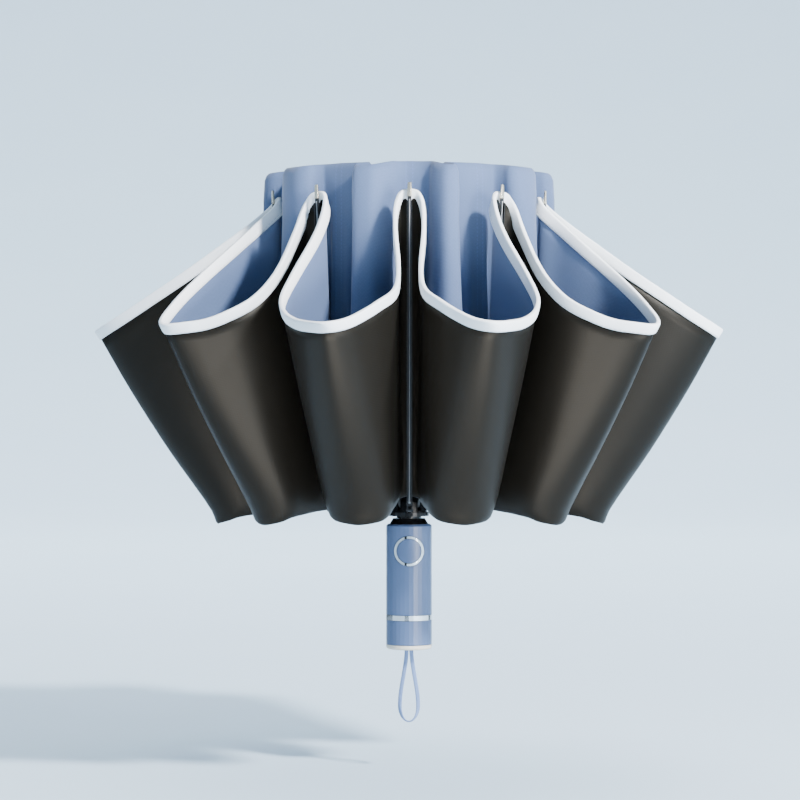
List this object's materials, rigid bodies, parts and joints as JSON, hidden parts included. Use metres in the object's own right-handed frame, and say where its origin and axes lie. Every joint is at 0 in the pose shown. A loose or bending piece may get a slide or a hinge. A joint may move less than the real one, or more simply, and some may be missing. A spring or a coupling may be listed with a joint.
{
  "type": "inverted folding umbrella",
  "caption": "Automatic folding umbrella that closes inside out, half open, with a telescoping shaft, hinged three-part ribs, white rim and wrist strap.",
  "frame": {"origin": "on the shaft's axis, at the flat underside of the grip where the hand or a stand holds it", "axes": "+Z along the shaft from the grip to the crown, -Y towards the button and the front rib"},
  "size_m": [0.4176, 0.397, 0.3773],
  "materials": {
    "grip_blue": "satin blue coating",
    "chrome": "polished",
    "cream_plastic": "satin",
    "strap_fabric": "woven ribbon",
    "black_plastic": "glossy black",
    "bright_steel": "bright",
    "black_steel": "black lacquer",
    "canopy_fabric": "blue weave, black coating underneath",
    "trim_fabric": "white tape"
  },
  "bodies": {
    "handle": {"grip_shell": "grip_blue", "grip_base": "grip_blue", "grip_band": "chrome", "end_cap": "cream_plastic", "strap_anchor": "cream_plastic", "wrist_strap": "strap_fabric", "button_bezel": "chrome", "shaft_holder": "black_plastic", "handle_collar": "black_plastic", "inner_tube": "bright_steel", "button_spring": "bright_steel"},
    "button": {"push_button": "grip_blue", "latch_plate": "bright_steel"},
    "shaft_middle": {"middle_tube": "bright_steel"},
    "shaft_top": {"outer_tube": "bright_steel", "crown": "black_plastic", "crown_cap": "grip_blue", "canopy": "canopy_fabric", "canopy_trim": "trim_fabric"},
    "runner": {"runner": "black_plastic"},
    "inner_rib_01": {"inner_rib_01": "black_steel"},
    "middle_rib_01": {"middle_rib_01": "black_steel"},
    "outer_rib_01": {"outer_rib_01": "black_steel"},
    "stretcher_01": {"stretcher_01": "black_steel"},
    "inner_rib_02": {"inner_rib_02": "black_steel"},
    "middle_rib_02": {"middle_rib_02": "black_steel"},
    "outer_rib_02": {"outer_rib_02": "black_steel"},
    "stretcher_02": {"stretcher_02": "black_steel"},
    "inner_rib_03": {"inner_rib_03": "black_steel"},
    "middle_rib_03": {"middle_rib_03": "black_steel"},
    "outer_rib_03": {"outer_rib_03": "black_steel"},
    "stretcher_03": {"stretcher_03": "black_steel"},
    "inner_rib_04": {"inner_rib_04": "black_steel"},
    "middle_rib_04": {"middle_rib_04": "black_steel"},
    "outer_rib_04": {"outer_rib_04": "black_steel"},
    "stretcher_04": {"stretcher_04": "black_steel"},
    "inner_rib_05": {"inner_rib_05": "black_steel"},
    "middle_rib_05": {"middle_rib_05": "black_steel"},
    "outer_rib_05": {"outer_rib_05": "black_steel"},
    "stretcher_05": {"stretcher_05": "black_steel"},
    "inner_rib_06": {"inner_rib_06": "black_steel"},
    "middle_rib_06": {"middle_rib_06": "black_steel"},
    "outer_rib_06": {"outer_rib_06": "black_steel"},
    "stretcher_06": {"stretcher_06": "black_steel"},
    "inner_rib_07": {"inner_rib_07": "black_steel"},
    "middle_rib_07": {"middle_rib_07": "black_steel"},
    "outer_rib_07": {"outer_rib_07": "black_steel"},
    "stretcher_07": {"stretcher_07": "black_steel"},
    "inner_rib_08": {"inner_rib_08": "black_steel"},
    "middle_rib_08": {"middle_rib_08": "black_steel"},
    "outer_rib_08": {"outer_rib_08": "black_steel"},
    "stretcher_08": {"stretcher_08": "black_steel"},
    "inner_rib_09": {"inner_rib_09": "black_steel"},
    "middle_rib_09": {"middle_rib_09": "black_steel"},
    "outer_rib_09": {"outer_rib_09": "black_steel"},
    "stretcher_09": {"stretcher_09": "black_steel"},
    "inner_rib_10": {"inner_rib_10": "black_steel"},
    "middle_rib_10": {"middle_rib_10": "black_steel"},
    "outer_rib_10": {"outer_rib_10": "black_steel"},
    "stretcher_10": {"stretcher_10": "black_steel"}
  },
  "joints": [
    {"name": "middle_tube_slide", "type": "slide", "parent": "handle", "child": "shaft_middle", "axis": [0, 0, 1], "range_m": [0, 0.14]},
    {"name": "outer_tube_slide", "type": "slide", "parent": "shaft_middle", "child": "shaft_top", "axis": [0, 0, 1], "range_m": [0, 0.14]},
    {"name": "runner_slide", "type": "slide", "parent": "shaft_top", "child": "runner", "axis": [0, 0, 1], "range_m": [0, 0.06946]},
    {"name": "button_press", "type": "slide", "parent": "handle", "child": "button", "axis": [0, 1, 0], "range_m": [0, 0.002], "stiffness_N_per_m": 450, "springref_m": -0.001, "deforming": ["button_spring"]},
    {"name": "inner_rib_01_swing", "type": "hinge", "parent": "runner", "child": "inner_rib_01", "pos_m": [0, -0.0096, 0.0974], "axis": [1, 0, 0], "range_deg": [0, 80.8], "deforming": ["canopy", "canopy_trim"]},
    {"name": "middle_rib_01_fold", "type": "hinge", "parent": "inner_rib_01", "child": "middle_rib_01", "pos_m": [0, -0.072, 0.312], "axis": [1, 0, 0], "range_deg": [-155.02, 0]},
    {"name": "outer_rib_01_fold", "type": "hinge", "parent": "middle_rib_01", "child": "outer_rib_01", "pos_m": [0, -0.088, 0.098], "axis": [1, 0, 0], "range_deg": [0, 184.57]},
    {"name": "stretcher_01_swing", "type": "hinge", "parent": "shaft_top", "child": "stretcher_01", "pos_m": [0, -0.0096, 0.227], "axis": [1, 0, 0], "range_deg": [-27.23, 0]},
    {"name": "inner_rib_02_swing", "type": "hinge", "parent": "runner", "child": "inner_rib_02", "pos_m": [0.00564, -0.00777, 0.0974], "axis": [0.809, 0.5878, 0], "range_deg": [0, 80.84]},
    {"name": "middle_rib_02_fold", "type": "hinge", "parent": "inner_rib_02", "child": "middle_rib_02", "pos_m": [0.04232, -0.05825, 0.312], "axis": [0.809, 0.5878, 0], "range_deg": [-155.02, 0]},
    {"name": "outer_rib_02_fold", "type": "hinge", "parent": "middle_rib_02", "child": "outer_rib_02", "pos_m": [0.05173, -0.07119, 0.098], "axis": [0.809, 0.5878, 0], "range_deg": [0, 184.57]},
    {"name": "stretcher_02_swing", "type": "hinge", "parent": "shaft_top", "child": "stretcher_02", "pos_m": [0.00564, -0.00777, 0.227], "axis": [0.809, 0.5878, 0], "range_deg": [-27.23, 0]},
    {"name": "inner_rib_03_swing", "type": "hinge", "parent": "runner", "child": "inner_rib_03", "pos_m": [0.00913, -0.00297, 0.0974], "axis": [0.309, 0.9511, 0], "range_deg": [0, 80.84]},
    {"name": "middle_rib_03_fold", "type": "hinge", "parent": "inner_rib_03", "child": "middle_rib_03", "pos_m": [0.06848, -0.02225, 0.312], "axis": [0.309, 0.9511, 0], "range_deg": [-155.02, 0]},
    {"name": "outer_rib_03_fold", "type": "hinge", "parent": "middle_rib_03", "child": "outer_rib_03", "pos_m": [0.08369, -0.02719, 0.098], "axis": [0.309, 0.9511, 0], "range_deg": [0, 184.57]},
    {"name": "stretcher_03_swing", "type": "hinge", "parent": "shaft_top", "child": "stretcher_03", "pos_m": [0.00913, -0.00297, 0.227], "axis": [0.309, 0.9511, 0], "range_deg": [-27.23, 0]},
    {"name": "inner_rib_04_swing", "type": "hinge", "parent": "runner", "child": "inner_rib_04", "pos_m": [0.00913, 0.00297, 0.0974], "axis": [-0.309, 0.9511, 0], "range_deg": [0, 80.84]},
    {"name": "middle_rib_04_fold", "type": "hinge", "parent": "inner_rib_04", "child": "middle_rib_04", "pos_m": [0.06848, 0.02225, 0.312], "axis": [-0.309, 0.9511, 0], "range_deg": [-155.02, 0]},
    {"name": "outer_rib_04_fold", "type": "hinge", "parent": "middle_rib_04", "child": "outer_rib_04", "pos_m": [0.08369, 0.02719, 0.098], "axis": [-0.309, 0.9511, 0], "range_deg": [0, 184.57]},
    {"name": "stretcher_04_swing", "type": "hinge", "parent": "shaft_top", "child": "stretcher_04", "pos_m": [0.00913, 0.00297, 0.227], "axis": [-0.309, 0.9511, 0], "range_deg": [-27.23, 0]},
    {"name": "inner_rib_05_swing", "type": "hinge", "parent": "runner", "child": "inner_rib_05", "pos_m": [0.00564, 0.00777, 0.0974], "axis": [-0.809, 0.5878, 0], "range_deg": [0, 80.84]},
    {"name": "middle_rib_05_fold", "type": "hinge", "parent": "inner_rib_05", "child": "middle_rib_05", "pos_m": [0.04232, 0.05825, 0.312], "axis": [-0.809, 0.5878, 0], "range_deg": [-155.02, 0]},
    {"name": "outer_rib_05_fold", "type": "hinge", "parent": "middle_rib_05", "child": "outer_rib_05", "pos_m": [0.05173, 0.07119, 0.098], "axis": [-0.809, 0.5878, 0], "range_deg": [0, 184.57]},
    {"name": "stretcher_05_swing", "type": "hinge", "parent": "shaft_top", "child": "stretcher_05", "pos_m": [0.00564, 0.00777, 0.227], "axis": [-0.809, 0.5878, 0], "range_deg": [-27.23, 0]},
    {"name": "inner_rib_06_swing", "type": "hinge", "parent": "runner", "child": "inner_rib_06", "pos_m": [0, 0.0096, 0.0974], "axis": [-1, 0, 0], "range_deg": [0, 80.84]},
    {"name": "middle_rib_06_fold", "type": "hinge", "parent": "inner_rib_06", "child": "middle_rib_06", "pos_m": [0, 0.072, 0.312], "axis": [-1, 0, 0], "range_deg": [-155.02, 0]},
    {"name": "outer_rib_06_fold", "type": "hinge", "parent": "middle_rib_06", "child": "outer_rib_06", "pos_m": [0, 0.088, 0.098], "axis": [-1, 0, 0], "range_deg": [0, 184.57]},
    {"name": "stretcher_06_swing", "type": "hinge", "parent": "shaft_top", "child": "stretcher_06", "pos_m": [0, 0.0096, 0.227], "axis": [-1, 0, 0], "range_deg": [-27.23, 0]},
    {"name": "inner_rib_07_swing", "type": "hinge", "parent": "runner", "child": "inner_rib_07", "pos_m": [-0.00564, 0.00777, 0.0974], "axis": [-0.809, -0.5878, 0], "range_deg": [0, 80.84]},
    {"name": "middle_rib_07_fold", "type": "hinge", "parent": "inner_rib_07", "child": "middle_rib_07", "pos_m": [-0.04232, 0.05825, 0.312], "axis": [-0.809, -0.5878, 0], "range_deg": [-155.02, 0]},
    {"name": "outer_rib_07_fold", "type": "hinge", "parent": "middle_rib_07", "child": "outer_rib_07", "pos_m": [-0.05173, 0.07119, 0.098], "axis": [-0.809, -0.5878, 0], "range_deg": [0, 184.57]},
    {"name": "stretcher_07_swing", "type": "hinge", "parent": "shaft_top", "child": "stretcher_07", "pos_m": [-0.00564, 0.00777, 0.227], "axis": [-0.809, -0.5878, 0], "range_deg": [-27.23, 0]},
    {"name": "inner_rib_08_swing", "type": "hinge", "parent": "runner", "child": "inner_rib_08", "pos_m": [-0.00913, 0.00297, 0.0974], "axis": [-0.309, -0.9511, 0], "range_deg": [0, 80.84]},
    {"name": "middle_rib_08_fold", "type": "hinge", "parent": "inner_rib_08", "child": "middle_rib_08", "pos_m": [-0.06848, 0.02225, 0.312], "axis": [-0.309, -0.9511, 0], "range_deg": [-155.02, 0]},
    {"name": "outer_rib_08_fold", "type": "hinge", "parent": "middle_rib_08", "child": "outer_rib_08", "pos_m": [-0.08369, 0.02719, 0.098], "axis": [-0.309, -0.9511, 0], "range_deg": [0, 184.57]},
    {"name": "stretcher_08_swing", "type": "hinge", "parent": "shaft_top", "child": "stretcher_08", "pos_m": [-0.00913, 0.00297, 0.227], "axis": [-0.309, -0.9511, 0], "range_deg": [-27.23, 0]},
    {"name": "inner_rib_09_swing", "type": "hinge", "parent": "runner", "child": "inner_rib_09", "pos_m": [-0.00913, -0.00297, 0.0974], "axis": [0.309, -0.9511, 0], "range_deg": [0, 80.84]},
    {"name": "middle_rib_09_fold", "type": "hinge", "parent": "inner_rib_09", "child": "middle_rib_09", "pos_m": [-0.06848, -0.02225, 0.312], "axis": [0.309, -0.9511, 0], "range_deg": [-155.02, 0]},
    {"name": "outer_rib_09_fold", "type": "hinge", "parent": "middle_rib_09", "child": "outer_rib_09", "pos_m": [-0.08369, -0.02719, 0.098], "axis": [0.309, -0.9511, 0], "range_deg": [0, 184.57]},
    {"name": "stretcher_09_swing", "type": "hinge", "parent": "shaft_top", "child": "stretcher_09", "pos_m": [-0.00913, -0.00297, 0.227], "axis": [0.309, -0.9511, 0], "range_deg": [-27.23, 0]},
    {"name": "inner_rib_10_swing", "type": "hinge", "parent": "runner", "child": "inner_rib_10", "pos_m": [-0.00564, -0.00777, 0.0974], "axis": [0.809, -0.5878, 0], "range_deg": [0, 80.84]},
    {"name": "middle_rib_10_fold", "type": "hinge", "parent": "inner_rib_10", "child": "middle_rib_10", "pos_m": [-0.04232, -0.05825, 0.312], "axis": [0.809, -0.5878, 0], "range_deg": [-155.02, 0]},
    {"name": "outer_rib_10_fold", "type": "hinge", "parent": "middle_rib_10", "child": "outer_rib_10", "pos_m": [-0.05173, -0.07119, 0.098], "axis": [0.809, -0.5878, 0], "range_deg": [0, 184.57]},
    {"name": "stretcher_10_swing", "type": "hinge", "parent": "shaft_top", "child": "stretcher_10", "pos_m": [-0.00564, -0.00777, 0.227], "axis": [0.809, -0.5878, 0], "range_deg": [-27.23, 0]}
  ],
  "couplings": [
    {"joint": "outer_tube_slide", "follows": "middle_tube_slide", "ratio": 1},
    {"joint": "runner_slide", "follows": "inner_rib_01_swing", "m_per_rad": 0.049253},
    {"joint": "middle_rib_01_fold", "follows": "inner_rib_01_swing", "ratio": -1.9151},
    {"joint": "outer_rib_01_fold", "follows": "inner_rib_01_swing", "ratio": 2.2809},
    {"joint": "stretcher_01_swing", "follows": "inner_rib_01_swing", "ratio": -0.3358},
    {"joint": "inner_rib_02_swing", "follows": "inner_rib_01_swing", "ratio": 1},
    {"joint": "middle_rib_02_fold", "follows": "inner_rib_01_swing", "ratio": -1.9151},
    {"joint": "outer_rib_02_fold", "follows": "inner_rib_01_swing", "ratio": 2.2809},
    {"joint": "stretcher_02_swing", "follows": "inner_rib_01_swing", "ratio": -0.3358},
    {"joint": "inner_rib_03_swing", "follows": "inner_rib_01_swing", "ratio": 1},
    {"joint": "middle_rib_03_fold", "follows": "inner_rib_01_swing", "ratio": -1.9151},
    {"joint": "outer_rib_03_fold", "follows": "inner_rib_01_swing", "ratio": 2.2809},
    {"joint": "stretcher_03_swing", "follows": "inner_rib_01_swing", "ratio": -0.3358},
    {"joint": "inner_rib_04_swing", "follows": "inner_rib_01_swing", "ratio": 1},
    {"joint": "middle_rib_04_fold", "follows": "inner_rib_01_swing", "ratio": -1.9151},
    {"joint": "outer_rib_04_fold", "follows": "inner_rib_01_swing", "ratio": 2.2809},
    {"joint": "stretcher_04_swing", "follows": "inner_rib_01_swing", "ratio": -0.3358},
    {"joint": "inner_rib_05_swing", "follows": "inner_rib_01_swing", "ratio": 1},
    {"joint": "middle_rib_05_fold", "follows": "inner_rib_01_swing", "ratio": -1.9151},
    {"joint": "outer_rib_05_fold", "follows": "inner_rib_01_swing", "ratio": 2.2809},
    {"joint": "stretcher_05_swing", "follows": "inner_rib_01_swing", "ratio": -0.3358},
    {"joint": "inner_rib_06_swing", "follows": "inner_rib_01_swing", "ratio": 1},
    {"joint": "middle_rib_06_fold", "follows": "inner_rib_01_swing", "ratio": -1.9151},
    {"joint": "outer_rib_06_fold", "follows": "inner_rib_01_swing", "ratio": 2.2809},
    {"joint": "stretcher_06_swing", "follows": "inner_rib_01_swing", "ratio": -0.3358},
    {"joint": "inner_rib_07_swing", "follows": "inner_rib_01_swing", "ratio": 1},
    {"joint": "middle_rib_07_fold", "follows": "inner_rib_01_swing", "ratio": -1.9151},
    {"joint": "outer_rib_07_fold", "follows": "inner_rib_01_swing", "ratio": 2.2809},
    {"joint": "stretcher_07_swing", "follows": "inner_rib_01_swing", "ratio": -0.3358},
    {"joint": "inner_rib_08_swing", "follows": "inner_rib_01_swing", "ratio": 1},
    {"joint": "middle_rib_08_fold", "follows": "inner_rib_01_swing", "ratio": -1.9151},
    {"joint": "outer_rib_08_fold", "follows": "inner_rib_01_swing", "ratio": 2.2809},
    {"joint": "stretcher_08_swing", "follows": "inner_rib_01_swing", "ratio": -0.3358},
    {"joint": "inner_rib_09_swing", "follows": "inner_rib_01_swing", "ratio": 1},
    {"joint": "middle_rib_09_fold", "follows": "inner_rib_01_swing", "ratio": -1.9151},
    {"joint": "outer_rib_09_fold", "follows": "inner_rib_01_swing", "ratio": 2.2809},
    {"joint": "stretcher_09_swing", "follows": "inner_rib_01_swing", "ratio": -0.3358},
    {"joint": "inner_rib_10_swing", "follows": "inner_rib_01_swing", "ratio": 1},
    {"joint": "middle_rib_10_fold", "follows": "inner_rib_01_swing", "ratio": -1.9151},
    {"joint": "outer_rib_10_fold", "follows": "inner_rib_01_swing", "ratio": 2.2809},
    {"joint": "stretcher_10_swing", "follows": "inner_rib_01_swing", "ratio": -0.3358}
  ]
}
